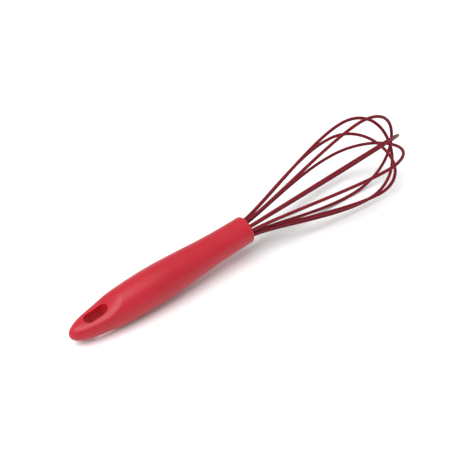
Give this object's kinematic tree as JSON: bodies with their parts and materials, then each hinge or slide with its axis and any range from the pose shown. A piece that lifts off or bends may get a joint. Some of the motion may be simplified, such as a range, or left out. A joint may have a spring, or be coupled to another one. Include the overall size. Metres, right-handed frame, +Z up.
{
  "type": "balloon whisk",
  "caption": "Hand balloon whisk: crossed silicone-coated wire loops set in a round tapering soft-skinned handle with a hanging slot in its scooped tail.",
  "frame": {"origin": "on the table, under the centre of the box of the whisk as it lies at rest", "axes": "+X along the whisk from the handle's tail towards the balloon, +Z up from the table, +Y across the whisk; the whisk's own axis rises 5.5 degrees towards +X, and the scooped faces of the tail face up and down"},
  "size_m": [0.2842, 0.0612, 0.0658],
  "materials": {
    "silicone_skin": "soft satin-matt moulded silicone, bright red",
    "silicone_sleeve": "satin extruded silicone, deep red",
    "wire_steel": "bright drawn stainless spring wire",
    "handle_plastic": "matt moulded nylon, dark red",
    "plug_plastic": "fine matt moulded nylon, dark red",
    "epoxy": "cast resin, amber"
  },
  "bodies": {
    "root": {"handle_skin": "silicone_skin", "handle_core": "handle_plastic", "wire_plug": "plug_plastic", "wire_potting": "epoxy", "wire_core_1": "wire_steel", "wire_core_2": "wire_steel", "wire_core_3": "wire_steel", "wire_core_4": "wire_steel", "wire_core_5": "wire_steel", "wire_sleeve_1": "silicone_sleeve", "wire_sleeve_2": "silicone_sleeve", "wire_sleeve_3": "silicone_sleeve", "wire_sleeve_4": "silicone_sleeve", "wire_sleeve_5": "silicone_sleeve"}
  },
  "joints": []
}
